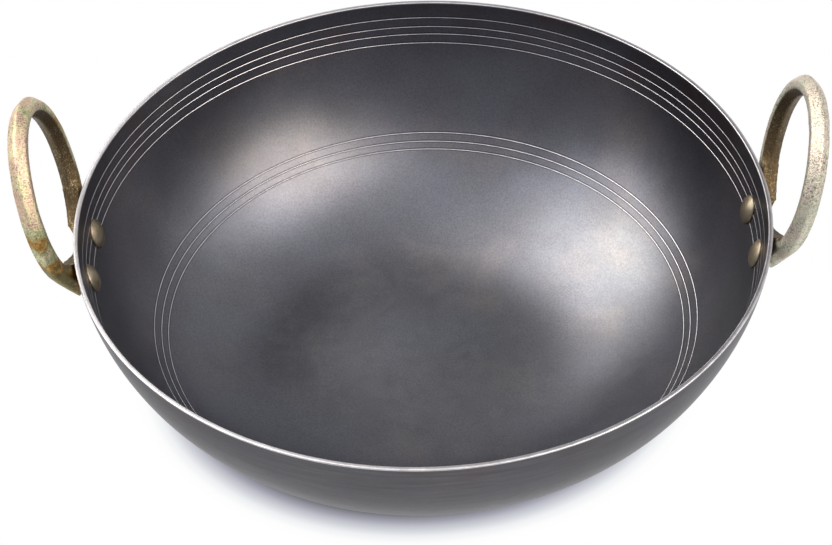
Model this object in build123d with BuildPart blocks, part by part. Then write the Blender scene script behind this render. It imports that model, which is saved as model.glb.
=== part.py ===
# A steel kadai, the deep round pan of the Indian kitchen, with two riveted ring handles.
#
# The bowl is one pressed sheet: a small flat base that turns up into a round wall in a
# single arc. Lines are scored around its inside near the rim and part way down. Each
# handle is a ring that grows out of a curved plate, which two rivets hold to the wall.
# Millimetres, with +Z up. The origin is the centre of the base, on the surface that the
# pan stands on. The handles point along +X and -X, and -Y is the front.

from build123d import *
from math import acos, asin, cos, degrees, radians, sin, sqrt
import os

# The bowl, on its outside
rim_radius = 150.0
base_radius = 50.0
bowl_height = 88.0
sheet = 2.0
rim_edge_radius = 0.4

# The scored lines inside, each at its own drop below the rim
line_width = 0.45
line_depth = 0.15
rim_line_drops = (7.7, 12.2, 15.8, 20.0)
belly_line_drops = (56.5, 59.4, 61.9)

# The rivets, in one row under each handle
rivet_row_drop = 18.8
rivet_spacing = 29.0
shank_diameter = 6.0
hole_clearance = 0.1
head_diameter = 13.0
head_height = 3.0
head_edge = 0.6
tail_diameter = 10.5
tail_height = 2.2
tail_edge = 0.5

# The plate that each handle has against the wall, bent to it
plate_width = 46.0
plate_height = 24.0
plate_top_drop = 4.0
plate_thickness = 2.5
plate_corner_radius = 7.0
plate_edge_radius = 1.0
seat_clearance = 0.05

# The ring above each plate, a six sided bar with a ridge along its outer and inner
# edges. Its round part runs down both sides into straight arms that close in on the
# plate and grow deeper towards it. A web fills the corners between the arms and the
# plate, hollowed in front. The left ring is a little larger than the right.
ring_radius_left = 36.6
ring_radius_right = 35.0
ring_lean = 13.1
ring_drop = 15.8
ring_stand_off = 3.0
arm_start_angle = 123.5
arm_length = 24.9
arm_growth = 3.5
bar_depth = 9.7
bar_width = 8.2
bar_flat = 3.6
bar_edge_radius = 1.2
web_set_back = 0.5
web_drop = 0.6
web_hollow_radius = 20.0
tail_room = 0.8
pocket_slope = 0.3

# The outside of the wall is one arc, level where it leaves the base
wall_arc_radius = ((rim_radius - base_radius) ** 2 + bowl_height**2) / (2 * bowl_height)


def wall_radius(offset, height):
    """Radius of the wall's outer face at a height, with the face moved out by offset."""
    drop = wall_arc_radius - height
    return base_radius + sqrt((wall_arc_radius + offset) ** 2 - drop**2)


def wall_arc(offset):
    """The wall's outline from the base to the rim's height, moved out by offset."""
    radius = wall_arc_radius + offset
    turn = degrees(acos((wall_arc_radius - bowl_height) / radius))
    return JernArc((base_radius, -offset), (1, 0), radius, turn)


def wall_band(inner_offset, outer_offset):
    """The outline of the space between two offsets of the wall."""
    with BuildSketch(Plane.XZ) as band:
        with BuildLine():
            outer = wall_arc(outer_offset)
            inner = wall_arc(inner_offset)
            Line(outer @ 0, inner @ 0)
            Line(outer @ 1, inner @ 1)
        make_face()
    return band.sketch


def filled_bowl(offset):
    """The outline of all that lies inside an offset of the wall."""
    with BuildSketch(Plane.XZ) as filling:
        with BuildLine():
            wall = wall_arc(offset)
            Polyline(wall @ 1, (0, bowl_height), (0, -offset), wall @ 0)
        make_face()
    return filling.sketch


# Each rivet stands square to the wall, so its plane has its origin on the wall's outer
# face, Z outwards along the rivet and X level.
rivet_row_height = bowl_height - rivet_row_drop
rivet_row_radius = wall_radius(0, rivet_row_height)
rivet_dip = asin((wall_arc_radius - rivet_row_height) / wall_arc_radius)
rivet_swing = degrees(asin(rivet_spacing / 2 / rivet_row_radius))


def rivet_plane(azimuth):
    """The plane of the rivet at an azimuth in degrees about +Z."""
    across = Vector(-sin(radians(azimuth)), cos(radians(azimuth)), 0)
    level = Vector(cos(radians(azimuth)), sin(radians(azimuth)), 0)
    outwards = level * cos(rivet_dip) - Vector(0, 0, sin(rivet_dip))
    seat = level * rivet_row_radius + Vector(0, 0, rivet_row_height)
    return Plane(origin=seat, x_dir=across, z_dir=outwards)


rivet_azimuths = {
    "rivet_right_front": -rivet_swing,
    "rivet_right_rear": rivet_swing,
    "rivet_left_front": 180 + rivet_swing,
    "rivet_left_rear": 180 - rivet_swing,
}
hole_radius = shank_diameter / 2 + hole_clearance


def drill_rivet_holes(azimuths):
    """Cut the rivets' holes through everything near the wall."""
    for azimuth in azimuths:
        with BuildSketch(rivet_plane(azimuth)) as hole:
            Circle(hole_radius)
        extrude(hole.sketch, amount=plate_width, both=True, mode=Mode.SUBTRACT)


# The bowl
scriber_radius = (line_width**2 / 4 + line_depth**2) / (2 * line_depth)
scriber_offset = line_depth - sheet - scriber_radius
scriber_places = []
for drop in rim_line_drops + belly_line_drops:
    height = bowl_height - drop
    scriber_places.append((wall_radius(scriber_offset, height), height))

with BuildPart() as bowl:
    with BuildSketch(Plane.XZ):
        with BuildLine():
            outside = wall_arc(0)
            inside = wall_arc(-sheet)
            Line(outside @ 1, inside @ 1)
            Polyline(outside @ 0, (0, 0), (0, sheet), inside @ 0)
        make_face()
    revolve(axis=Axis.Z)
    rim_edges = bowl.edges().filter_by(GeomType.CIRCLE).group_by(Axis.Z)[-1]
    fillet(rim_edges, rim_edge_radius)
    with BuildSketch(Plane.XZ):
        with Locations(*scriber_places):
            Circle(scriber_radius)
    revolve(axis=Axis.Z, mode=Mode.SUBTRACT)
    drill_rivet_holes(rivet_azimuths.values())
bowl.part.label = "bowl"

# A handle on the +X side. The circle of its ring leans out from its lowest point, which
# stands off the wall.
ring_up = Vector(sin(radians(ring_lean)), 0, cos(radians(ring_lean)))
ring_outwards = Vector(cos(radians(ring_lean)), 0, -sin(radians(ring_lean)))
ring_foot_height = bowl_height - ring_drop
ring_foot = Vector(wall_radius(ring_stand_off, ring_foot_height), 0, ring_foot_height)


def bar_outline(growth):
    """The bar's six corners about its own line, with its inner side deeper by growth."""
    inner_shoulder = -bar_flat / 2 - growth
    return [
        (bar_depth / 2, 0),
        (bar_flat / 2, bar_width / 2),
        (inner_shoulder, bar_width / 2),
        (-bar_depth / 2 - growth, 0),
        (inner_shoulder, -bar_width / 2),
        (bar_flat / 2, -bar_width / 2),
    ]


def bar_section(ring_radius, angle, along, growth):
    """The bar's section at an angle from the ring's top, and as far along the arm there."""
    across = Vector(0, 1, 0)
    away = ring_up * cos(radians(angle)) + across * sin(radians(angle))
    onwards = across * cos(radians(angle)) - ring_up * sin(radians(angle))
    place = ring_foot + (ring_up + away) * ring_radius + onwards * along
    with BuildSketch(Plane(origin=place, x_dir=away, z_dir=away.cross(ring_outwards))) as section:
        Polygon(*bar_outline(growth), align=None)
        fillet(section.vertices(), bar_edge_radius)
    return section.sketch


# The ring lies in this plane, and a web and an opening are drawn on it
ring_plane = Plane(origin=ring_foot, x_dir=(0, 1, 0), z_dir=ring_outwards)


def ring_opening(ring_radius):
    """The outline of the opening in the ring, down to the web's upper edge."""
    with BuildSketch(ring_plane) as opening:
        with Locations((0, ring_radius)):
            Circle(ring_radius - bar_depth / 2 + web_drop)
    return opening.sketch


def arm_web(ring_radius):
    """The web between the two arms, as thick as the bar and hollowed in front."""
    angle = radians(arm_start_angle)
    shoulder = Vector(sin(angle), 1 + cos(angle)) * ring_radius
    foot = shoulder + Vector(cos(angle), -sin(angle)) * arm_length
    corners = [(shoulder.X, shoulder.Y), (foot.X, foot.Y), (-foot.X, foot.Y), (-shoulder.X, shoulder.Y)]
    with BuildPart() as web:
        with BuildSketch(ring_plane):
            Polygon(*corners, align=None)
        extrude(amount=bar_width / 2 - web_set_back, both=True)
        extrude(ring_opening(ring_radius), amount=bar_width, both=True, mode=Mode.SUBTRACT)
        with BuildSketch(Plane(origin=ring_foot, x_dir=(0, 1, 0), z_dir=ring_up)):
            with Locations((0, -web_hollow_radius)):
                Circle(web_hollow_radius)
        extrude(amount=ring_radius, both=True, mode=Mode.SUBTRACT)
    return web.part


def wall_plate(ring_radius):
    """The plate, with its outer face following the wall, cut away below the ring.

    It runs into the sheet, and is cut to the wall together with the ring's bar."""
    plate_centre_height = bowl_height - plate_top_drop - plate_height / 2
    with BuildPart() as plate:
        revolve(wall_band(-sheet, plate_thickness), axis=Axis.Z)
        with BuildSketch(Plane.YZ):
            with Locations((0, plate_centre_height)):
                RectangleRounded(plate_width, plate_height, plate_corner_radius)
        extrude(amount=2 * rim_radius, mode=Mode.INTERSECT)
        fillet(plate.faces().sort_by(Axis.X)[-1].edges(), plate_edge_radius)
        extrude(ring_opening(ring_radius), amount=plate_width, both=True, mode=Mode.SUBTRACT)
    return plate.part


# A pocket in the bar and the web leaves room for the rivets' tails. It goes down to the plate's outer
# face, and its top and sides slope away from there.
plate_face_radius = wall_radius(plate_thickness, rivet_row_height)
pocket_half_width = rivet_spacing / 2 + tail_diameter / 2 + tail_room
pocket_top = rivet_row_height + tail_diameter / 2 + tail_room
pocket_bottom = rivet_row_height - plate_height


def pocket_outline(distance):
    """The pocket's outline at a distance out from the plate's face."""
    half_width = pocket_half_width + distance * pocket_slope
    top = pocket_top + distance * pocket_slope
    with BuildSketch(Plane.YZ.offset(plate_face_radius + distance)) as outline:
        with Locations((0, (top + pocket_bottom) / 2)):
            Rectangle(2 * half_width, top - pocket_bottom)
    return outline.sketch


def ring_handle(ring_radius):
    """A whole handle on the +X side, with its bar and its plate cut to the wall."""
    ring_axis = Axis(ring_foot + ring_up * ring_radius, -ring_outwards)
    with BuildPart() as handle:
        start = bar_section(ring_radius, -arm_start_angle, 0, 0)
        revolve(start, axis=ring_axis, revolution_arc=2 * arm_start_angle)
        for side in (-1, 1):
            angle = side * arm_start_angle
            shoulder = bar_section(ring_radius, angle, 0, 0)
            foot = bar_section(ring_radius, angle, side * arm_length, arm_growth)
            loft([shoulder, foot], ruled=True)
        add(arm_web(ring_radius))
        extrude(pocket_outline(0), amount=-bar_width, mode=Mode.SUBTRACT)
        loft([pocket_outline(0), pocket_outline(bar_width)], ruled=True, mode=Mode.SUBTRACT)
        add(wall_plate(ring_radius))
        revolve(filled_bowl(seat_clearance), axis=Axis.Z, mode=Mode.SUBTRACT)
        drill_rivet_holes([-rivet_swing, rivet_swing])
    return handle.part


with BuildPart() as handle_right:
    add(ring_handle(ring_radius_right))
handle_right.part.label = "handle_right"

with BuildPart() as handle_left:
    mirror(ring_handle(ring_radius_left), about=Plane.YZ)
handle_left.part.label = "handle_left"


def rivet_end(profile, top, shoulder, diameter):
    """The outline of one end of a rivet, a dome from its shoulder to its top."""
    with BuildSketch(profile) as end:
        with BuildLine():
            dome = TangentArc((0, top), (diameter / 2, shoulder), tangent=(1, 0))
            Polyline(dome @ 1, (diameter / 2, 0), (0, 0), dome @ 0)
        make_face()
    return end.sketch


# The rivets, each with a domed head inside the bowl and a flatter tail on the plate
head_top = -sheet - head_height
tail_top = plate_thickness + tail_height
shank_start = -sheet - head_height / 2
shank_end = plate_thickness + tail_height / 2

os.makedirs("parts", exist_ok=True)
for name, azimuth in rivet_azimuths.items():
    seat = rivet_plane(azimuth)
    profile = Plane(origin=seat.origin, x_dir=seat.x_dir, z_dir=seat.x_dir.cross(seat.z_dir))
    rivet_axis = Axis(seat.origin, seat.z_dir)
    with BuildPart() as rivet:
        revolve(rivet_end(profile, head_top, -sheet - head_edge, head_diameter), axis=rivet_axis)
        revolve(rivet_end(profile, tail_top, plate_thickness + tail_edge, tail_diameter), axis=rivet_axis)
        held = wall_band(-sheet - seat_clearance, plate_thickness + seat_clearance)
        revolve(held, axis=Axis.Z, mode=Mode.SUBTRACT)
        with BuildSketch(seat.offset(shank_start)):
            Circle(shank_diameter / 2)
        extrude(amount=shank_end - shank_start)
    rivet.part.label = name
    export_step(rivet.part, f"parts/{name}.step")

export_step(bowl.part, "parts/bowl.step")
export_step(handle_right.part, "parts/handle_right.step")
export_step(handle_left.part, "parts/handle_left.step")
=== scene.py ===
# The looks of a steel kadai: a blued carbon steel bowl with lines scored inside it, two
# cast ring handles and four rivets, in a plain studio.
#
# Everything is in metres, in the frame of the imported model: +Z is up, the middle of the
# base is the origin, the handles point along X and the camera is on the -Y side.

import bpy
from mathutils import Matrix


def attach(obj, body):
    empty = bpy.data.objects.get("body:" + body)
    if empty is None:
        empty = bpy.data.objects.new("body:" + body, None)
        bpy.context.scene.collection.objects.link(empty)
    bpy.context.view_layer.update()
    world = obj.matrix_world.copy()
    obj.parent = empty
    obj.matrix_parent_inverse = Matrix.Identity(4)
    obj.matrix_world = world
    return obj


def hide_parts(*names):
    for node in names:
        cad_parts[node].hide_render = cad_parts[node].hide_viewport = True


bl_info = {
    "name": "Kadai With Ring Handles",
    "version": (1, 0, 0),
    "blender": (4, 5, 0),
    "location": "3D View > Sidebar > Kadai",
    "description": "Makes the kadai's bowl, handles and rivets and the studio around them",
    "category": "Add Mesh",
}

from math import acos, asin, cos, pi, radians, sin

import bmesh
import bpy
from mathutils import Matrix, Vector

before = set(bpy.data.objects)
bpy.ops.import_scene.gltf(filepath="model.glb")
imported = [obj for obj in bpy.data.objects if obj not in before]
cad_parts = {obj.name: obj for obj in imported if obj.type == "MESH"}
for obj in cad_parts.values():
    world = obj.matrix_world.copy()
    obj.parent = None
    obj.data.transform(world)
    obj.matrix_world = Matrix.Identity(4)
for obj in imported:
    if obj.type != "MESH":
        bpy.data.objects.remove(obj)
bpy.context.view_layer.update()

MM = 0.001
BODY = "root"
RIVET_NODES = ("rivet_left_front", "rivet_left_rear", "rivet_right_front", "rivet_right_rear")


def linear(hex_colour):
    """An sRGB hex colour as the linear RGBA that Blender's sockets take."""
    shares = [int(hex_colour[place:place + 2], 16) / 255 for place in (1, 3, 5)]
    return tuple(share / 12.92 if share <= 0.04045 else ((share + 0.055) / 1.055) ** 2.4
                 for share in shares) + (1.0,)


def size(name, default, description):
    """A length that a user may change, given here in millimetres."""
    return bpy.props.FloatProperty(
        name=name, default=default * MM, description=description, unit="LENGTH", precision=5)


def amount(name, default, description):
    """A plain number that a user may change."""
    return bpy.props.FloatProperty(
        name=name, default=default, description=description, precision=4)


def angle(name, default, description):
    """An angle that a user may change, given here in degrees."""
    return bpy.props.FloatProperty(
        name=name, default=radians(default), description=description, subtype="ANGLE")


def colour(name, default, description):
    """A colour that a user may change, given here as sRGB hex."""
    return bpy.props.FloatVectorProperty(
        name=name, default=linear(default), description=description, subtype="COLOR", size=4,
        min=0.0, max=1.0)


# ---- sizes and colours ----


class KadaiBowlSettings(bpy.types.PropertyGroup):
    """The bowl's sizes, which repeat the solid's, and the colours of its steel."""

    rim_radius: size("Rim Radius", 150, "Outer radius of the rim")
    base_radius: size("Base Radius", 50, "Radius of the flat base")
    height: size("Height", 88, "Height of the rim above the table")
    sheet: size("Sheet", 2, "Thickness of the steel sheet")
    rim_edge: size("Rim Edge", 0.4, "Radius of the rim's two edges")
    line_width: size("Line Width", 0.45, "Width of a scored line")
    line_depth: size("Line Depth", 0.15, "Depth of a scored line")
    bottom_blend: size("Bottom Blend", 28, "Half the width over which base and wall run together")
    dent_size: size("Dent Size", 45, "Distance between the sheet's soft unevennesses")
    dent_depth: size("Dent Depth", 0.25, "Height of the sheet's soft unevennesses")
    blue: colour("Blued Steel", "#767a83", "Main colour of the blued sheet")
    dark: colour("Dark Scale", "#646469", "Darker clouds in the blued sheet")
    pale: colour("Pale Scale", "#898483", "Paler, warmer clouds in the blued sheet")
    # Partly painted shade: real outer scale, made darker for the shaded table that it reflects
    outer: colour("Outer Scale", "#565457", "Plainer, darker scale on the outside")
    # Painted shade along both edges of each scored line; the same colour darkens the specks
    edge: colour("Line Edge", "#3c3a3e", "Dark oxide along both edges of a line and in specks")
    bare: colour("Bare Steel", "#d2d2d6", "Steel laid bare on the rim and in the lines")
    rust: colour("Rust Tint", "#6e5148", "Brown tint near the rim")
    # Partly painted shade: the edge-on shine is dimmed for the shaded table that it reflects
    edge_on: colour("Edge-on Shine", "#dbdbdc", "Shine of the outside where it is seen edge on")


class KadaiHandleSettings(bpy.types.PropertyGroup):
    """The handles' cast skin and passivate colours, and painted shade and glints in the ring."""

    voxel: size("Voxel", 0.55, "Cell size of the mesh that follows the solid")
    lump_size: size("Lump Size", 9, "Distance between the casting's low lumps")
    lump_depth: size("Lump Depth", 0.35, "Height of the casting's low lumps")
    grain_size: size("Grain Size", 1.3, "Distance between the grains of the cast skin")
    grain_depth: size("Grain Depth", 0.12, "Height of the grains of the cast skin")
    cream: colour("Cream", "#e0d7ae", "Pale yellow passivate")
    pink: colour("Pink", "#dabba9", "Pink passivate")
    green: colour("Green", "#bac49a", "Green passivate")
    gold: colour("Gold", "#c1924c", "Golden passivate, where the bath was thicker")
    olive: colour("Olive", "#857a4a", "Olive passivate, where the bath was thickest")
    thin: colour("Thin Film", "#dddcd3", "Nearly bare zinc, where the film is thin")
    # Painted shade: the ring's inward faces get this brown for the dark pan and room they face
    inner: colour("Inner Brown", "#5c4c36", "Brown film on the inside of the ring")
    # Painted highlight: bright glints laid over the painted shade inside the ring
    glint: colour("Inner Glint", "#b3a985", "Grains rubbed bright on the inside of the ring")
    ring_height: size("Ring Height", 107, "Height of the middle of the rings")
    pit: colour("Pit", "#4c453a", "Brown in the pits of the cast skin")


class KadaiRivetSettings(bpy.types.PropertyGroup):
    """The rivets' sizes, which repeat the solids', and their colours."""

    row_drop: size("Row Drop", 18.8, "Drop from the rim to the rivets")
    spacing: size("Spacing", 29, "Distance between the two rivets of a handle")
    head_diameter: size("Head Diameter", 13, "Diameter of the head inside the bowl")
    head_height: size("Head Height", 3, "Height of the head inside the bowl")
    head_edge: size("Head Edge", 0.6, "Height of the head's rim")
    shank_diameter: size("Shank Diameter", 6, "Diameter of the shank")
    tail_diameter: size("Tail Diameter", 10.5, "Diameter of the tail on the plate")
    tail_height: size("Tail Height", 2.2, "Height of the tail on the plate")
    tail_edge: size("Tail Edge", 0.5, "Height of the tail's rim")
    plate: size("Plate", 2.5, "Thickness of the handle's plate")
    seat: size("Seat", 0.05, "Gap between a rivet and what it holds")
    dent_size: size("Dent Size", 5, "Distance between the dents that the striking leaves")
    dent_depth: size("Dent Depth", 0.35, "Depth of the dents that the striking leaves")
    olive: colour("Olive", "#857d69", "Olive passivate")
    straw: colour("Straw", "#a39a86", "Straw coloured passivate")
    worn: colour("Worn", "#8a7566", "Pinkish brown where the film is worn")


class KadaiStageSettings(bpy.types.PropertyGroup):
    """The camera and the lamps."""

    distance: size("Camera Distance", 1125, "Distance from the camera to the middle of the rim")
    elevation: angle("Camera Elevation", 43.171, "Angle that the camera looks down")
    roll: angle("Camera Roll", -2.028, "Turn of the camera about its own line of sight")
    azimuth: angle("Camera Azimuth", -0.138, "Turn of the camera about the pan")
    aim_x: amount("Aim X", 6.311, "Photograph's column of the rim's middle, right of its centre")
    aim_y: amount("Aim Y", 60.003, "Photograph's row of the rim's middle, above its centre")
    focal: amount("Focal Length", 2615.6, "Focal length in the photograph's pixels")
    width: amount("Width", 832, "The photograph's width in pixels")
    lamps: amount("Lamps", 1.0, "Share of their power that the softboxes give")
    sky: amount("Sky", 1.0, "Strength of the room around the softboxes")


# ---- helpers for the shapes ----


def add_node(tree, kind, inputs=(), **settings):
    """Add a node, set its settings, and give its inputs their values or links. A link comes
    from an output, or from the first output that another node has in use."""
    made = tree.nodes.new(kind)
    for name, value in settings.items():
        setattr(made, name, value)
    for key, value in dict(inputs).items():
        if isinstance(value, bpy.types.Node):
            value = next(output for output in value.outputs if output.enabled)
        if isinstance(value, bpy.types.NodeSocket):
            tree.links.new(value, made.inputs[key])
        else:
            made.inputs[key].default_value = value
    return made


def new_geometry_tree(name, inputs):
    """A Geometry Nodes tree with a geometry input, named number inputs and its input node."""
    tree = bpy.data.node_groups.new(name, "GeometryNodeTree")
    tree.interface.new_socket("Geometry", in_out="INPUT", socket_type="NodeSocketGeometry")
    tree.interface.new_socket("Geometry", in_out="OUTPUT", socket_type="NodeSocketGeometry")
    for label in inputs:
        kind = "NodeSocketMaterial" if label == "Material" else "NodeSocketFloat"
        tree.interface.new_socket(label, in_out="INPUT", socket_type=kind)
    return tree, tree.nodes.new("NodeGroupInput")


def turn_outline(tree, source, steps, radius, weld):
    """Turn the tree's input outline about the Z axis, and weld the points that meet."""
    path = add_node(tree, "GeometryNodeCurvePrimitiveCircle",
                    {"Resolution": steps, "Radius": radius})
    level = add_node(tree, "GeometryNodeSetCurveNormal", {"Curve": path}, mode="Z_UP")
    outline = add_node(tree, "GeometryNodeMeshToCurve", {"Mesh": source.outputs["Geometry"]})
    turned = add_node(tree, "GeometryNodeCurveToMesh", {"Curve": level, "Profile Curve": outline})
    return add_node(tree, "GeometryNodeMergeByDistance", {"Geometry": turned, "Distance": weld})


def lump_height(tree, source, name, detail):
    """The height of lumps, which the tree's inputs of this name space out and raise."""
    pitch = add_node(tree, "ShaderNodeMath", {0: 1.0, 1: source.outputs[name + " Size"]},
                     operation="DIVIDE")
    lumps = add_node(tree, "ShaderNodeTexNoise",
                     {"Scale": pitch, "Detail": detail, "W": source.outputs["Seed"]},
                     noise_dimensions="4D")
    centred = add_node(tree, "ShaderNodeMath", {0: lumps, 1: 0.5}, operation="SUBTRACT")
    return add_node(tree, "ShaderNodeMath", {0: centred, 1: source.outputs[name + " Depth"]},
                    operation="MULTIPLY")


def push_out(tree, shape, way, height):
    """Move a shape's points by a height along a direction."""
    shift = add_node(tree, "ShaderNodeVectorMath", {0: way, "Scale": height}, operation="SCALE")
    return add_node(tree, "GeometryNodeSetPosition", {"Geometry": shape, "Offset": shift})


def finish_tree(tree, source, shape):
    """End a tree in Realize Instances and Set Material."""
    real = add_node(tree, "GeometryNodeRealizeInstances", {"Geometry": shape})
    dressed = add_node(tree, "GeometryNodeSetMaterial",
                       {"Geometry": real, "Material": source.outputs["Material"]})
    add_node(tree, "NodeGroupOutput", {"Geometry": dressed})


def outline_mesh(name, outline, radius):
    """An outline's points as a chain of edges, laid out as the turning takes them: X outwards
    from a circle of this radius, and Y downwards."""
    mesh = bpy.data.meshes.new(name)
    mesh.from_pydata([(point[0] - radius, -point[1], 0) for point in outline],
                     [(step, step + 1) for step in range(len(outline) - 1)], [])
    return mesh


def link_object(name, mesh):
    """A new object at the origin, in the scene."""
    made = bpy.data.objects.new(name, mesh)
    bpy.context.scene.collection.objects.link(made)
    return made


def bake_tree(piece, tree, values):
    """Run a tree on a piece with these inputs, and leave the result as its plain mesh."""
    modifier = piece.modifiers.new(tree.name, "NODES")
    modifier.node_group = tree
    for item in tree.interface.items_tree:
        if item.in_out == "INPUT" and item.name in values:
            modifier[item.identifier] = values[item.name]
    bake_modifiers(piece)


def bake_modifiers(piece):
    """Turn a piece with its modifiers into a plain, smooth shaded mesh."""
    bpy.context.view_layer.update()
    graph = bpy.context.evaluated_depsgraph_get()
    result = bpy.data.meshes.new_from_object(
        piece.evaluated_get(graph), preserve_all_data_layers=True, depsgraph=graph)
    piece.modifiers.clear()
    piece.data = result
    result.name = piece.name
    result.polygons.foreach_set("use_smooth", [True] * len(result.polygons))


def face_outwards(piece):
    """Point all the faces of a closed mesh outwards."""
    shape = bmesh.new()
    shape.from_mesh(piece.data)
    bmesh.ops.recalc_face_normals(shape, faces=shape.faces)
    shape.to_mesh(piece.data)
    shape.free()


# ---- helpers for the materials ----


def new_material(name):
    """An empty material, and its node tree."""
    made = bpy.data.materials.new(name)
    made.use_nodes = True
    made.node_tree.nodes.clear()
    return made, made.node_tree


def patches(tree, place, pitch, detail, roughness, seed, shown, strength=(0.0, 1.0)):
    """Soft patches about pitch metres apart. Across the part of their noise that is shown,
    they go from the first strength to the second, and they keep to these outside it."""
    clouds = add_node(tree, "ShaderNodeTexNoise",
                      {"Vector": place, "Scale": 1 / pitch, "Detail": detail,
                       "Roughness": roughness, "W": seed}, noise_dimensions="4D")
    return add_node(tree, "ShaderNodeMapRange",
                    {"Value": clouds, "From Min": shown[0], "From Max": shown[1],
                     "To Min": strength[0], "To Max": strength[1]})


def lay_colours(tree, skin, layers):
    """Lay colours over a skin in turn, each as strong as its share says."""
    for share, shade in layers:
        skin = add_node(tree, "ShaderNodeMix", {0: share, 6: skin, 7: shade}, data_type="RGBA")
    return skin


def set_stops(ramp, stops):
    """Give a colour ramp its stops, each a position and a colour, from low to high."""
    elements = ramp.color_ramp.elements
    for element, (position, shade) in zip(elements, (stops[0], stops[-1])):
        element.position, element.color = position, shade
    for position, shade in stops[1:-1]:
        elements.new(position).color = shade


def finish_metal(tree, skin, roughness, grain, strength, depth, more=()):
    """End a metal's tree in its shader, with the grain of its surface as a bump."""
    bump = add_node(tree, "ShaderNodeBump",
                    {"Height": grain, "Strength": strength, "Distance": depth})
    shader = add_node(tree, "ShaderNodeBsdfPrincipled",
                      {"Base Color": skin, "Metallic": 1.0, "Roughness": roughness,
                       "Normal": bump, **dict(more)})
    add_node(tree, "ShaderNodeOutputMaterial", {"Surface": shader})


# ---- the bowl ----


def wall_arc_radius(bowl):
    """Radius of the arc of the wall's outside, level where it leaves the base."""
    return ((bowl.rim_radius - bowl.base_radius) ** 2 + bowl.height ** 2) / (2 * bowl.height)


def wall_point(bowl, offset, turn):
    """Radius and height on the wall, offset outwards, at a turn up its arc from the base."""
    arc = wall_arc_radius(bowl)
    return (bowl.base_radius + (arc + offset) * sin(turn), arc - (arc + offset) * cos(turn))


def wall_turn(bowl, offset, height):
    """The turn up the wall's arc that reaches a height."""
    arc = wall_arc_radius(bowl)
    return acos((arc - height) / (arc + offset))


def dish(bowl, radius):
    """How far the inside lies below the solid's at a radius, where base and wall run together.
    There the sheet starts to curve up little by little, and not all at once as the solid's."""
    blend = bowl.bottom_blend
    past = min(max(radius - bowl.base_radius, -blend), blend)
    eased = (8 * blend ** 3 - (past + blend) ** 3) / (12 * blend)
    at_once = (blend ** 2 - max(past, 0) ** 2) / 2
    return (eased - at_once) / wall_arc_radius(bowl)


# Drops below the rim of the lines scored inside, in millimetres
LINE_DROPS = (7.7, 12.2, 15.8, 20.0, 56.5, 59.4, 61.9)
# Across a line, as shares of its width and its depth: its place, its height and how bare
# the steel is, where below 0 is painted shade along both edges of a line, full at -1
LINE_SHAPE = ((-1.7, 0, 0), (-1.1, 0, -0.8), (-0.6, 0.1, -0.6), (-0.45, 0, 0.8),
              (-0.2, -0.8, 0.8), (0.2, -0.8, 0.8), (0.45, 0, 0.8), (0.6, 0.1, -0.6),
              (1.1, 0, -0.8), (1.7, 0, 0))
# Line widths from the middle of a line that the wall's plain points keep away
LINE_GUARD = 2
WALL_STEP = 3.0 * MM
BASE_STEPS = 12
# From the inner edge of the rim to the outer one: how bare the ground steel is
RIM_BARE = ((0.0, 0.8), (0.18, 0.5), (0.5, 0.55), (0.72, 0.9), (1.0, 1.0))
RIM_STEPS = 4
# Distance below the rim's rounded edges at which the blued sheet starts
RIM_GUARD = 0.35 * MM
# Steps of the bowl's turning, as many as keep its skin under 200,000 triangles
TURNING_STEPS = 500.0
BOWL_WELD = 0.01 * MM
# How far down from the rim the brown tint reaches
RUST_REACH = 26 * MM


def inside_points(bowl):
    """The outline's points from the middle inside up to the rim's rounded edge."""
    inner = -bowl.sheet
    arc = wall_arc_radius(bowl) + inner
    top_turn = wall_turn(bowl, inner, bowl.height - bowl.rim_edge)
    marks = []
    for drop in LINE_DROPS:
        middle = wall_turn(bowl, inner, bowl.height - drop * MM)
        for across, rise, bareness in LINE_SHAPE:
            turn = middle - across * bowl.line_width / arc
            marks.append((turn, rise * bowl.line_depth, bareness))
    guard = bowl.line_width * LINE_GUARD / arc
    steps = round(top_turn * arc / WALL_STEP)
    for count in range(1, steps):
        turn = top_turn * count / steps
        if all(abs(turn - mark[0]) > guard for mark in marks):
            marks.append((turn, 0, 0))
    marks.append((top_turn - RIM_GUARD / arc, 0, 0))
    points = [(bowl.base_radius * (step / BASE_STEPS), bowl.sheet, 0, 0)
              for step in range(BASE_STEPS + 1)]
    for turn, rise, bareness in sorted(marks):
        points.append((*wall_point(bowl, inner - rise, turn), bareness, 0))
    return [(radius, height - dish(bowl, radius), *rest) for radius, height, *rest in points]


def rim_points(bowl):
    """The outline's points over the rim, with its two rounded edges."""
    edge = bowl.rim_edge
    shoulder = bowl.height - edge
    inside = wall_point(bowl, -bowl.sheet, wall_turn(bowl, -bowl.sheet, shoulder))[0] + edge
    outside = wall_point(bowl, 0, wall_turn(bowl, 0, shoulder))[0] - edge
    turns = [step / RIM_STEPS * pi / 2 for step in range(RIM_STEPS + 1)]
    points = [(inside - edge * cos(turn), shoulder + edge * sin(turn), RIM_BARE[0][1], 0)
              for turn in turns]
    points += [(inside + (outside - inside) * share, bowl.height, bareness, 0)
               for share, bareness in RIM_BARE[1:-1]]
    points += [(outside + edge * sin(turn), shoulder + edge * cos(turn), RIM_BARE[-1][1], 1)
               for turn in turns]
    return points


def outside_points(bowl):
    """The outline's points from the rim's rounded edge down to the middle below."""
    arc = wall_arc_radius(bowl) - bowl.sheet
    top_turn = wall_turn(bowl, 0, bowl.height - bowl.rim_edge)
    inner_turn = wall_turn(bowl, -bowl.sheet, bowl.height - bowl.rim_edge)
    steps = round(inner_turn * arc / WALL_STEP)
    turns = [top_turn - RIM_GUARD / arc]
    turns += [top_turn * count / steps for count in range(steps - 1, -1, -1)]
    points = [(*wall_point(bowl, 0, turn), 0, 1) for turn in turns]
    points += [(bowl.base_radius * (step / BASE_STEPS), 0, 0, 1)
               for step in range(BASE_STEPS - 1, -1, -1)]
    return points


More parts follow.
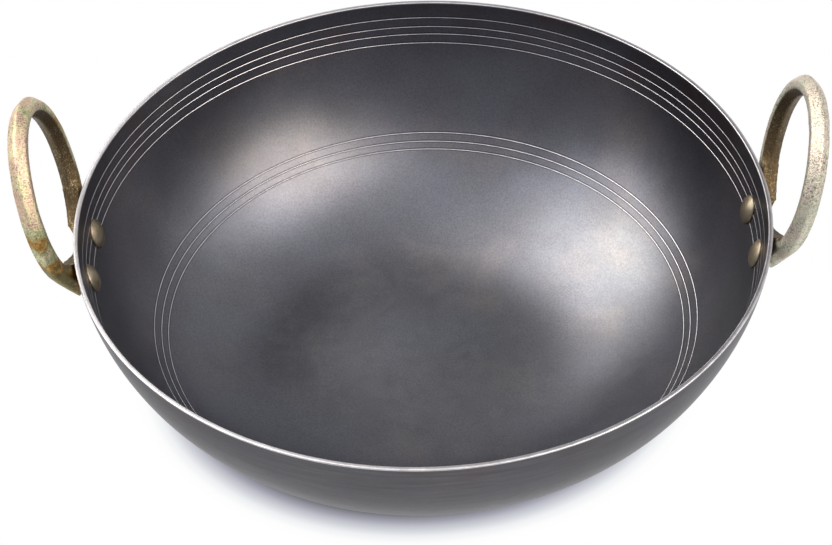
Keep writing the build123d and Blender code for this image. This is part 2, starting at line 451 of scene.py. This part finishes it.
def bowl_tree():
    """Turns an outline about the Z axis, and dents the sheet a little."""
    tree, source = new_geometry_tree(
        "Kadai Bowl Turning", ("Radius", "Steps", "Dent Size", "Dent Depth", "Seed", "Material"))
    steps = add_node(tree, "FunctionNodeFloatToInt", {0: source.outputs["Steps"]})
    turned = turn_outline(tree, source, steps, source.outputs["Radius"], BOWL_WELD)
    place = add_node(tree, "GeometryNodeInputPosition")
    level = add_node(tree, "ShaderNodeVectorMath", {0: place, 1: (1.0, 1.0, 0.0)},
                     operation="MULTIPLY")
    outwards = add_node(tree, "ShaderNodeVectorMath", {0: level}, operation="NORMALIZE")
    dents = lump_height(tree, source, "Dent", 1.0)
    finish_tree(tree, source, push_out(tree, turned, outwards, dents))
    return tree


def blued_steel(bowl):
    """Carbon steel sheet, pressed and then blued: the heat leaves a thin dark oxide, grey
    blue with faint darker and warmer clouds and fine dark specks, half matt, over the fine
    grain of the rolled sheet. Outside it's browner and duller, with fine marks of the
    spinning tool around it, and darker still with painted shade for the shaded table it
    reflects. The rim and the scored lines are ground or cut after the bluing, so they show
    the bare steel, with painted shade along both edges of each line."""
    material, tree = new_material("blued_carbon_steel")
    place = add_node(tree, "ShaderNodeTexCoord").outputs["Object"]
    outside = add_node(tree, "ShaderNodeAttribute", attribute_name="outside").outputs["Fac"]
    cut = add_node(tree, "ShaderNodeAttribute", attribute_name="bare").outputs["Fac"]
    clouds = patches(tree, place, 80 * MM, 3, 0.5, 3.0, (0.35, 0.65))
    warm = patches(tree, place, 40 * MM, 4, 0.55, 8.0, (0.5, 0.75), (0.0, 0.6))
    mottle = patches(tree, place, 2.2 * MM, 5, 0.65, 1.0, (0.3, 0.7), (0.0, 0.2))
    specks = patches(tree, place, 0.8 * MM, 2, 0.7, 12.0, (0.35, 0.65), (0.0, 0.35))
    # The spinning tool's marks are 20 times as long around the pan as they are high
    squeezed = add_node(tree, "ShaderNodeVectorMath", {0: place, 1: (0.05, 0.05, 1.0)},
                        operation="MULTIPLY")
    marks = patches(tree, squeezed, 1.5 * MM, 4, 0.65, 7.0, (0.35, 0.65), (0.35, 1.0))
    browner = add_node(tree, "ShaderNodeMath", {0: outside, 1: marks}, operation="MULTIPLY")
    # Brown stains lie near the rim, and fewer of them outside
    height = add_node(tree, "ShaderNodeSeparateXYZ", {0: place}).outputs["Z"]
    near_rim = add_node(tree, "ShaderNodeMapRange",
                        {"Value": height, "From Min": bowl.height - RUST_REACH,
                         "From Max": bowl.height})
    stains = patches(tree, place, 30 * MM, 5, 0.6, 5.0, (0.45, 0.7), (0.0, 0.7))
    fewer = add_node(tree, "ShaderNodeMapRange", {"Value": outside, "To Min": 1.0, "To Max": 0.3})
    stains = add_node(tree, "ShaderNodeMath", {0: stains, 1: fewer}, operation="MULTIPLY")
    stains = add_node(tree, "ShaderNodeMath", {0: near_rim, 1: stains}, operation="MULTIPLY")
    # Painted shade along both edges of each scored line
    line_edge_shade = add_node(tree, "ShaderNodeMapRange", {"Value": cut, "From Max": -1.0})
    worn = patches(tree, place, 6 * MM, 3, 0.6, 11.0, (0.3, 0.7), (0.75, 1.1))
    bare = add_node(tree, "ShaderNodeMath", {0: cut, 1: worn}, operation="MULTIPLY",
                    use_clamp=True)
    skin = lay_colours(tree, bowl.dark, (
        (clouds, bowl.blue), (warm, bowl.pale), (mottle, bowl.dark), (specks, bowl.edge),
        (browner, bowl.outer), (stains, bowl.rust), (line_edge_shade, bowl.edge), (bare, bowl.bare)))
    rough = patches(tree, place, 5 * MM, 4, 0.6, 2.0, (0.3, 0.7), (0.31, 0.35))
    gloss = add_node(tree, "ShaderNodeMix", {0: bare, 2: rough, 3: 0.42})
    # The sheet's rolled grain is under a tenth of a millimetre, too fine to show here, so
    # it's drawn at four tenths
    grain = add_node(tree, "ShaderNodeTexNoise",
                     {"Vector": place, "Scale": 1 / (0.4 * MM), "Detail": 2, "Roughness": 0.6,
                      "W": 6.0}, noise_dimensions="4D")
    # The thick scale outside doesn't brighten along the edges as clean steel does; it is also
    # dimmed as painted shade for the shaded table that it reflects
    edge_on = lay_colours(tree, (1.0, 1.0, 1.0, 1.0), ((outside, bowl.edge_on),))
    finish_metal(tree, skin, gloss, grain, 0.12, 0.1 * MM, {"Specular Tint": edge_on})
    return material


class KADAI_OT_bowl(bpy.types.Operator):
    """Make the bowl by turning its outline, with its scored lines"""

    bl_idname = "kadai.bowl"
    bl_label = "Make Bowl"

    def execute(self, context):
        bowl = context.scene.kadai_bowl
        # Each point has a radius, a height, how bare its steel is, with painted shade below 0
        # along a line's edges, and 1 if it lies outside
        outline = inside_points(bowl) + rim_points(bowl) + outside_points(bowl)
        mesh = outline_mesh("bowl_skin", outline, bowl.rim_radius)
        for name, column in (("bare", 2), ("outside", 3)):
            marked = mesh.attributes.new(name, "FLOAT", "POINT")
            marked.data.foreach_set("value", [point[column] for point in outline])
        piece = link_object("bowl_skin", mesh)
        bake_tree(piece, bowl_tree(), {
            "Radius": bowl.rim_radius, "Steps": TURNING_STEPS, "Dent Size": bowl.dent_size,
            "Dent Depth": bowl.dent_depth, "Seed": 4.0, "Material": blued_steel(bowl)})
        face_outwards(piece)
        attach(piece, BODY)
        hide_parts("bowl")
        return {"FINISHED"}


# ---- the handles ----

# The passivate's colours as its film gets thinner
FILM = ((0.24, "olive"), (0.32, "gold"), (0.38, "green"), (0.46, "cream"), (0.54, "pink"),
        (0.62, "cream"), (0.72, "green"))
# Heights between which the film gets thinner, and how far the handles are from the middle
FILM_FROM = 82 * MM
FILM_TO = 134 * MM
HANDLE_REACH = 150 * MM
CASTING_WELD = 0.001 * MM


def casting_tree():
    """Gives a closed shape the lumps and the grain of a casting."""
    tree, source = new_geometry_tree(
        "Kadai Cast Skin",
        ("Lump Size", "Lump Depth", "Grain Size", "Grain Depth", "Seed", "Material"))
    height = add_node(tree, "ShaderNodeMath",
                      {0: lump_height(tree, source, "Lump", 1.0),
                       1: lump_height(tree, source, "Grain", 2.0)}, operation="ADD")
    normal = add_node(tree, "GeometryNodeInputNormal")
    finish_tree(tree, source, push_out(tree, source.outputs["Geometry"], normal, height))
    return tree


def zinc_casting(handle):
    """A steel casting, tumbled, zinc plated and dipped in a yellow passivate: a thin film
    whose colour wanders between cream, pink, green and gold with its thickness, over the
    brown pitted grain that the sand leaves. Inside the ring it has painted shade in brown,
    for the dark pan and room it faces, with painted glints."""
    material, tree = new_material("yellow_zinc_casting")
    place = add_node(tree, "ShaderNodeTexCoord").outputs["Object"]
    axes = add_node(tree, "ShaderNodeSeparateXYZ", {0: place}).outputs
    film = add_node(tree, "ShaderNodeTexNoise",
                    {"Vector": place, "Scale": 1 / (10 * MM), "Detail": 4, "Roughness": 0.65,
                     "W": 2.0}, noise_dimensions="4D")
    # The film is thicker and more golden low down, near the pan, and thinner on the right
    low = add_node(tree, "ShaderNodeMapRange",
                   {"Value": axes["Z"], "From Min": FILM_FROM, "From Max": FILM_TO,
                    "To Min": -0.3, "To Max": 0.02})
    left = add_node(tree, "ShaderNodeMapRange",
                    {"Value": axes["X"], "From Min": -HANDLE_REACH, "From Max": HANDLE_REACH,
                     "To Min": 1.0, "To Max": 0.45})
    thicker = add_node(tree, "ShaderNodeMath", {0: low, 1: left}, operation="MULTIPLY")
    film = add_node(tree, "ShaderNodeMath", {0: film, 1: thicker}, operation="ADD")
    ramp = add_node(tree, "ShaderNodeValToRGB", {0: film})
    set_stops(ramp, [(position, getattr(handle, name)) for position, name in FILM])
    thin = add_node(tree, "ShaderNodeMapRange",
                    {"Value": axes["X"], "From Min": -HANDLE_REACH, "From Max": HANDLE_REACH,
                     "To Max": 0.6})
    # Painted shade: faces turned in to the middle of the ring are darkened to brown, for the
    # dark pan and room that they face
    to_middle = add_node(tree, "ShaderNodeVectorMath",
                         {0: (0.0, 0.0, handle.ring_height), 1: place}, operation="SUBTRACT")
    to_middle = add_node(tree, "ShaderNodeVectorMath", {0: to_middle, 1: (0.0, 1.0, 1.0)},
                         operation="MULTIPLY")
    to_middle = add_node(tree, "ShaderNodeVectorMath", {0: to_middle}, operation="NORMALIZE")
    facing = add_node(tree, "ShaderNodeTexCoord").outputs["Normal"]
    inward_shade = add_node(tree, "ShaderNodeVectorMath", {0: to_middle, 1: facing},
                      operation="DOT_PRODUCT")
    inward_shade = add_node(tree, "ShaderNodeMapRange",
                      {"Value": inward_shade, "From Min": 0.3, "From Max": 0.6})
    # Painted highlight: bright glints in patches on the ring's inward faces
    painted_glints = patches(tree, place, 0.6 * MM, 2, 0.7, 13.0, (0.52, 0.64), (0.0, 0.75))
    rubbed = patches(tree, place, 9 * MM, 2, 0.5, 14.0, (0.4, 0.6), (0.35, 0.9))
    painted_glints = add_node(tree, "ShaderNodeMath", {0: painted_glints, 1: rubbed}, operation="MULTIPLY")
    brown = lay_colours(tree, handle.inner, ((painted_glints, handle.glint),))
    # The sand's grains are about a third of a millimetre, too fine to show here, so the
    # grain is drawn at seven tenths
    grain = add_node(tree, "ShaderNodeTexNoise",
                     {"Vector": place, "Scale": 1 / (0.7 * MM), "Detail": 3, "Roughness": 0.7,
                      "W": 4.0}, noise_dimensions="4D")
    pits = add_node(tree, "ShaderNodeMapRange",
                    {"Value": grain, "From Min": 0.36, "From Max": 0.54, "To Min": 1.0,
                     "To Max": 0.0})
    pitted = patches(tree, place, 10 * MM, 3, 0.5, 9.0, (0.4, 0.65), (0.4, 1.0))
    pits = add_node(tree, "ShaderNodeMath", {0: pits, 1: pitted}, operation="MULTIPLY")
    skin = lay_colours(tree, ramp, ((thin, handle.thin), (inward_shade, brown), (pits, handle.pit)))
    rough = add_node(tree, "ShaderNodeMapRange",
                     {"Value": grain, "From Min": 0.3, "From Max": 0.7, "To Min": 0.6,
                      "To Max": 0.4})
    finish_metal(tree, skin, rough, grain, 0.9, 0.35 * MM)
    return material


class KADAI_OT_handles(bpy.types.Operator):
    """Make both handles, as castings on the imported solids' shapes"""

    bl_idname = "kadai.handles"
    bl_label = "Make Handles"

    def execute(self, context):
        handle = context.scene.kadai_handle
        material = zinc_casting(handle)
        tree = casting_tree()
        for seed, node in ((1.0, "handle_left"), (7.0, "handle_right")):
            piece = link_object(node + "_skin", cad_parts[node].data.copy())
            piece.data.materials.clear()
            shape = bmesh.new()
            shape.from_mesh(piece.data)
            bmesh.ops.remove_doubles(shape, verts=shape.verts, dist=CASTING_WELD)
            shape.to_mesh(piece.data)
            shape.free()
            remesh = piece.modifiers.new("follow", "REMESH")
            remesh.mode, remesh.voxel_size = "VOXEL", handle.voxel
            smooth = piece.modifiers.new("soften", "SMOOTH")
            smooth.factor, smooth.iterations = 0.5, 4
            bake_modifiers(piece)
            bake_tree(piece, tree, {
                "Lump Size": handle.lump_size, "Lump Depth": handle.lump_depth,
                "Grain Size": handle.grain_size, "Grain Depth": handle.grain_depth,
                "Seed": seed, "Material": material})
            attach(piece, BODY)
            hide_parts(node)
        return {"FINISHED"}


# ---- the rivets ----

DOME_STEPS = 10
RIVET_STEPS = 48
# Radius of the circle that a rivet's outline is turned around
RIVET_PATH = 1.0 * MM
RIVET_WELD = 0.005 * MM


def dome(radius, shoulder, top):
    """Points (radius, height) from the middle of a dome's top to its shoulder."""
    rise = top - shoulder
    arc = (radius ** 2 + rise ** 2) / (2 * rise)
    turns = [asin(radius / arc) * step / DOME_STEPS for step in range(DOME_STEPS + 1)]
    return [(arc * sin(turn), top - arc * (1 - cos(turn))) for turn in turns]


def rivet_outline(rivet, sheet):
    """Points (radius, height) down one rivet, whose height is out from the wall's outside."""
    head = rivet.head_diameter / 2
    tail = rivet.tail_diameter / 2
    shank = rivet.shank_diameter / 2
    under_head = -sheet - rivet.seat
    under_tail = rivet.plate + rivet.seat
    points = dome(tail, rivet.plate + rivet.tail_edge, rivet.plate + rivet.tail_height)
    points += [(tail, under_tail), (shank, under_tail), (shank, under_head), (head, under_head)]
    head_points = dome(head, rivet.head_edge, rivet.head_height)
    points += [(radius, -sheet - height) for radius, height in reversed(head_points)]
    return points


def rivet_tree():
    """Turns an outline into a rivet and sets one on each of four points, square to the wall."""
    tree, source = new_geometry_tree(
        "Kadai Rivets", ("Row Radius", "Row Height", "Swing", "Tilt", "Dent Size", "Dent Depth",
                         "Seed", "Material"))
    turned = turn_outline(tree, source, RIVET_STEPS, RIVET_PATH, RIVET_WELD)
    points = add_node(tree, "GeometryNodePoints", {"Count": len(RIVET_NODES)})
    number = add_node(tree, "GeometryNodeInputIndex")
    # Rivets 0 and 1 are on the right, 2 and 3 on the left; the even ones swing to one side
    odd = add_node(tree, "ShaderNodeMath", {0: number, 1: 2.0}, operation="MODULO")
    side = add_node(tree, "ShaderNodeMath", {0: number, 1: 1.5}, operation="GREATER_THAN")
    way = add_node(tree, "ShaderNodeMath", {0: odd, 1: 2.0, 2: -1.0}, operation="MULTIPLY_ADD")
    swing = add_node(tree, "ShaderNodeMath", {0: way, 1: source.outputs["Swing"]},
                     operation="MULTIPLY")
    bearing = add_node(tree, "ShaderNodeMath", {0: side, 1: pi, 2: swing},
                       operation="MULTIPLY_ADD")
    seat = {2: source.outputs["Row Height"]}
    for axis, operation in ((0, "COSINE"), (1, "SINE")):
        along = add_node(tree, "ShaderNodeMath", {0: bearing}, operation=operation)
        seat[axis] = add_node(tree, "ShaderNodeMath",
                              {0: along, 1: source.outputs["Row Radius"]}, operation="MULTIPLY")
    seat = add_node(tree, "ShaderNodeCombineXYZ", seat)
    placed = add_node(tree, "GeometryNodeSetPosition", {"Geometry": points, "Position": seat})
    turn = add_node(tree, "ShaderNodeCombineXYZ", {1: source.outputs["Tilt"], 2: bearing})
    rivets = add_node(tree, "GeometryNodeInstanceOnPoints",
                      {"Points": placed, "Instance": turned, "Rotation": turn})
    real = add_node(tree, "GeometryNodeRealizeInstances", {"Geometry": rivets})
    normal = add_node(tree, "GeometryNodeInputNormal")
    dents = lump_height(tree, source, "Dent", 1.0)
    finish_tree(tree, source, push_out(tree, real, normal, dents))
    return tree


def zinc_rivet(rivet):
    """A mild steel rivet, zinc plated and passivated olive yellow, with its dome struck
    smooth and half bright by the rivet set."""
    material, tree = new_material("olive_zinc_rivet")
    place = add_node(tree, "ShaderNodeTexCoord").outputs["Object"]
    film = patches(tree, place, 6 * MM, 3, 0.55, 3.0, (0.38, 0.62))
    worn = patches(tree, place, 4 * MM, 4, 0.6, 6.0, (0.45, 0.65), (0.0, 0.7))
    skin = lay_colours(tree, rivet.olive, ((film, rivet.straw), (worn, rivet.worn)))
    # The plating's own grain is too fine to show here, so it's drawn at nine tenths of a
    # millimetre
    grain = add_node(tree, "ShaderNodeTexNoise",
                     {"Vector": place, "Scale": 1 / (0.9 * MM), "Detail": 4, "Roughness": 0.65,
                      "W": 5.0}, noise_dimensions="4D")
    rough = add_node(tree, "ShaderNodeMapRange",
                     {"Value": grain, "From Min": 0.3, "From Max": 0.7, "To Min": 0.52,
                      "To Max": 0.4})
    finish_metal(tree, skin, rough, grain, 0.25, 0.12 * MM)
    return material


class KADAI_OT_rivets(bpy.types.Operator):
    """Make the four rivets, set square to the bowl's wall"""

    bl_idname = "kadai.rivets"
    bl_label = "Make Rivets"

    def execute(self, context):
        bowl = context.scene.kadai_bowl
        rivet = context.scene.kadai_rivet
        mesh = outline_mesh("rivets_skin", rivet_outline(rivet, bowl.sheet), RIVET_PATH)
        piece = link_object("rivets_skin", mesh)
        row_turn = wall_turn(bowl, 0, bowl.height - rivet.row_drop)
        row_radius, row_height = wall_point(bowl, 0, row_turn)
        bake_tree(piece, rivet_tree(), {
            "Row Radius": row_radius, "Row Height": row_height,
            "Swing": asin(rivet.spacing / 2 / row_radius), "Tilt": pi - row_turn,
            "Dent Size": rivet.dent_size, "Dent Depth": rivet.dent_depth, "Seed": 2.0,
            "Material": zinc_rivet(rivet)})
        face_outwards(piece)
        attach(piece, BODY)
        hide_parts(*RIVET_NODES)
        return {"FINISHED"}


# ---- the stage ----

FLOOR_HALF = 12.0
TABLE = "#e9e9ea"
# The pan's shadow is an ellipse: its middle, its half widths, and how the white table greys
# across it, as shares of the half widths
SHADOW_MIDDLE = (-4 * MM, 0.0, 0.0)
SHADOW_HALVES = (116 * MM, 103 * MM, 1.0)
SHADOW = ((0.55, "#2e2e35"), (0.8, "#4c4c54"), (0.922, "#75757c"), (0.96, "#a3a3af"),
          (0.985, "#c0c1ca"), (1.01, "#d5d7dd"), (1.04, "#eef0f2"), (1.08, "#fdfdfd"),
          (1.12, "#ffffff"))
SHADOW_REACH = 1.2
# Linear colours of the room's light, beside a white of 1, and how high the ceiling starts
ROOM = (0.42, 0.405, 0.44, 1.0)
CEILING = (1.22, 1.22, 1.26, 1.0)
CEILING_START = 0.72
# A dark screen hung behind the pan, between the softboxes: its colour, the way to it, and
# the cosines of the angles from there at which it starts and is full
DARK_SCREEN = (0.04, 0.04, 0.042, 1.0)
SCREEN_WAY = (0.03, 0.7, 0.71)
SCREEN_STARTS = 0.93
SCREEN_FULL = 0.97
# Softboxes: bearing from +X and angle above the table, in degrees, width and height in
# metres, power in watts, and colour
LAMPS = {
    "softbox_left": (160, 46, 1.6, 1.4, 18.0, (0.975, 0.964, 1.0)),
    "softbox_left_core": (158, 40, 0.6, 0.6, 3.8, (1.0, 0.85, 0.56)),
    "softbox_left_upper": (135, 52, 1.0, 1.0, 6.0, (1.0, 0.85, 0.67)),
    "softbox_left_rear": (138, 44, 0.7, 0.9, 1.5, (1.0, 1.0, 0.64)),
    "softbox_right": (-27, 47, 0.9, 1.1, 16.2, (1.0, 0.89, 0.75)),
    "softbox_right_upper": (-45, 60, 1.1, 0.8, 3.8, (1.0, 0.89, 0.83)),
    "softbox_right_rear": (0, 48, 0.7, 0.9, 3.8, (0.98, 0.94, 1.0)),
    "fill_right": (30, 35, 1.6, 1.2, 2.4, (0.95, 1.0, 0.86)),
    "fill_rear": (94, 36, 0.9, 0.3, 0.5, (1.0, 1.0, 1.0)),
    "softbox_rear": (114, 50, 0.5, 0.6, 2.7, (1.0, 0.97, 0.95)),
}
LAMP_DISTANCE = 1.7


def white_floor():
    """A white acrylic table lit evenly from below. It's plain white but for a soft shadow close
    under the pan, a little longer along the handles and drawn out to the left."""
    material, tree = new_material("white_light_table")
    table = add_node(tree, "ShaderNodeBsdfDiffuse", {"Color": linear(TABLE)})
    place = add_node(tree, "ShaderNodeTexCoord").outputs["Object"]
    place = add_node(tree, "ShaderNodeVectorMath", {0: place, 1: SHADOW_MIDDLE},
                     operation="SUBTRACT")
    place = add_node(tree, "ShaderNodeVectorMath", {0: place, 1: SHADOW_HALVES},
                     operation="DIVIDE")
    share = add_node(tree, "ShaderNodeVectorMath", {0: place}, operation="LENGTH")
    share = add_node(tree, "ShaderNodeMath", {0: share, 1: SHADOW_REACH}, operation="DIVIDE")
    ramp = add_node(tree, "ShaderNodeValToRGB", {0: share})
    set_stops(ramp, [(reach / SHADOW_REACH, linear(shade)) for reach, shade in SHADOW])
    glow = add_node(tree, "ShaderNodeEmission", {"Color": ramp, "Strength": 1.0})
    # The camera and the metal's shine see this glow, and all other light the plain table
    seen = add_node(tree, "ShaderNodeLightPath").outputs
    direct = add_node(tree, "ShaderNodeMath",
                      {0: seen["Is Camera Ray"], 1: seen["Is Glossy Ray"]}, operation="MAXIMUM")
    direct = add_node(tree, "ShaderNodeMath", {0: direct, 1: seen["Is Transmission Ray"]},
                      operation="MAXIMUM")
    mixed = add_node(tree, "ShaderNodeMixShader", {0: direct, 1: table, 2: glow})
    add_node(tree, "ShaderNodeOutputMaterial", {"Surface": mixed})
    return material


def studio_world(sky):
    """A dim, cool room that grows paler towards the middle of the ceiling, with a dark screen
    high behind the pan."""
    world = bpy.data.worlds.new("studio")
    world.use_nodes = True
    tree = world.node_tree
    tree.nodes.clear()
    way = add_node(tree, "ShaderNodeTexCoord").outputs["Generated"]
    height = add_node(tree, "ShaderNodeSeparateXYZ", {0: way}).outputs["Z"]
    ramp = add_node(tree, "ShaderNodeValToRGB", {0: height})
    set_stops(ramp, [(CEILING_START, ROOM), (1.0, CEILING)])
    nearness = add_node(tree, "ShaderNodeVectorMath", {0: way, 1: SCREEN_WAY},
                        operation="DOT_PRODUCT")
    screen = add_node(tree, "ShaderNodeMapRange",
                      {"Value": nearness, "From Min": SCREEN_STARTS, "From Max": SCREEN_FULL})
    room = lay_colours(tree, ramp, ((screen, DARK_SCREEN),))
    shade = add_node(tree, "ShaderNodeBackground", {"Color": room, "Strength": sky})
    add_node(tree, "ShaderNodeOutputWorld", {"Surface": shade})
    return world


def add_softbox(name, bearing, rise, width, height, power, tint):
    """A softbox at a bearing from +X and an angle above the table, facing the pan."""
    lamp = bpy.data.lights.new(name, "AREA")
    lamp.shape, lamp.size, lamp.size_y = "RECTANGLE", width, height
    lamp.energy, lamp.color = power, tint
    made = bpy.data.objects.new(name, lamp)
    bearing, rise = radians(bearing), radians(rise)
    place = LAMP_DISTANCE * Vector((cos(bearing) * cos(rise), sin(bearing) * cos(rise), sin(rise)))
    made.location = place
    made.rotation_euler = place.to_track_quat("Z", "Y").to_euler()
    bpy.context.scene.collection.objects.link(made)


def aim_camera(stage, rim_height):
    """A camera that puts the middle of the rim where the photograph has it."""
    lens = bpy.data.cameras.new("camera")
    lens.lens = stage.focal / stage.width * lens.sensor_width
    camera = bpy.data.objects.new("camera", lens)
    bpy.context.scene.collection.objects.link(camera)
    turn = Matrix.Rotation(stage.azimuth, 4, "Z")
    level = Vector((1, 0, 0))
    ahead = Vector((0, cos(stage.elevation), -sin(stage.elevation)))
    above = Vector((0, sin(stage.elevation), cos(stage.elevation)))
    right = level * cos(stage.roll) + above * sin(stage.roll)
    up = above * cos(stage.roll) - level * sin(stage.roll)
    sight = right * stage.aim_x / stage.focal + up * stage.aim_y / stage.focal + ahead
    place = Vector((0, 0, rim_height)) - sight.normalized() * stage.distance
    axes = Matrix((right, up, -ahead)).transposed().to_4x4()
    camera.matrix_world = turn @ Matrix.Translation(place) @ axes
    bpy.context.scene.camera = camera


class KADAI_OT_stage(bpy.types.Operator):
    """Set the floor, the softboxes, the world and the camera"""

    bl_idname = "kadai.stage"
    bl_label = "Set Stage"

    def execute(self, context):
        stage = context.scene.kadai_stage
        mesh = bpy.data.meshes.new("floor")
        mesh.from_pydata([(x * FLOOR_HALF, y * FLOOR_HALF, 0)
                          for x, y in ((-1, -1), (1, -1), (1, 1), (-1, 1))],
                         [], [(0, 1, 2, 3)])
        mesh.materials.append(white_floor())
        link_object("floor", mesh)
        for name, (bearing, rise, width, height, power, tint) in LAMPS.items():
            add_softbox(name, bearing, rise, width, height, power * stage.lamps, tint)
        context.scene.world = studio_world(stage.sky)
        context.scene.view_settings.view_transform = "Standard"
        aim_camera(stage, context.scene.kadai_bowl.height)
        return {"FINISHED"}


class KADAI_PT_sidebar(bpy.types.Panel):
    """The kadai's sizes, colours and steps"""

    bl_label = "Kadai"
    bl_idname = "KADAI_PT_sidebar"
    bl_space_type = "VIEW_3D"
    bl_region_type = "UI"
    bl_category = "Kadai"

    def draw(self, context):
        for operator, group in STEPS:
            column = self.layout.column()
            column.operator(operator.bl_idname)
            settings = getattr(context.scene, group)
            for name in settings.__annotations__:
                column.prop(settings, name)


GROUPS = {"kadai_bowl": KadaiBowlSettings, "kadai_handle": KadaiHandleSettings,
          "kadai_rivet": KadaiRivetSettings, "kadai_stage": KadaiStageSettings}
STEPS = ((KADAI_OT_bowl, "kadai_bowl"), (KADAI_OT_handles, "kadai_handle"),
         (KADAI_OT_rivets, "kadai_rivet"), (KADAI_OT_stage, "kadai_stage"))


def register():
    for name, group in GROUPS.items():
        bpy.utils.register_class(group)
        setattr(bpy.types.Scene, name, bpy.props.PointerProperty(type=group))
    for operator, _ in STEPS:
        bpy.utils.register_class(operator)
    bpy.utils.register_class(KADAI_PT_sidebar)


def unregister():
    bpy.utils.unregister_class(KADAI_PT_sidebar)
    for operator, _ in STEPS:
        bpy.utils.unregister_class(operator)
    for name, group in GROUPS.items():
        delattr(bpy.types.Scene, name)
        bpy.utils.unregister_class(group)


def main():
    register()
    bpy.ops.kadai.bowl()
    bpy.ops.kadai.handles()
    bpy.ops.kadai.rivets()
    bpy.ops.kadai.stage()


if __name__ == "__main__":
    main()
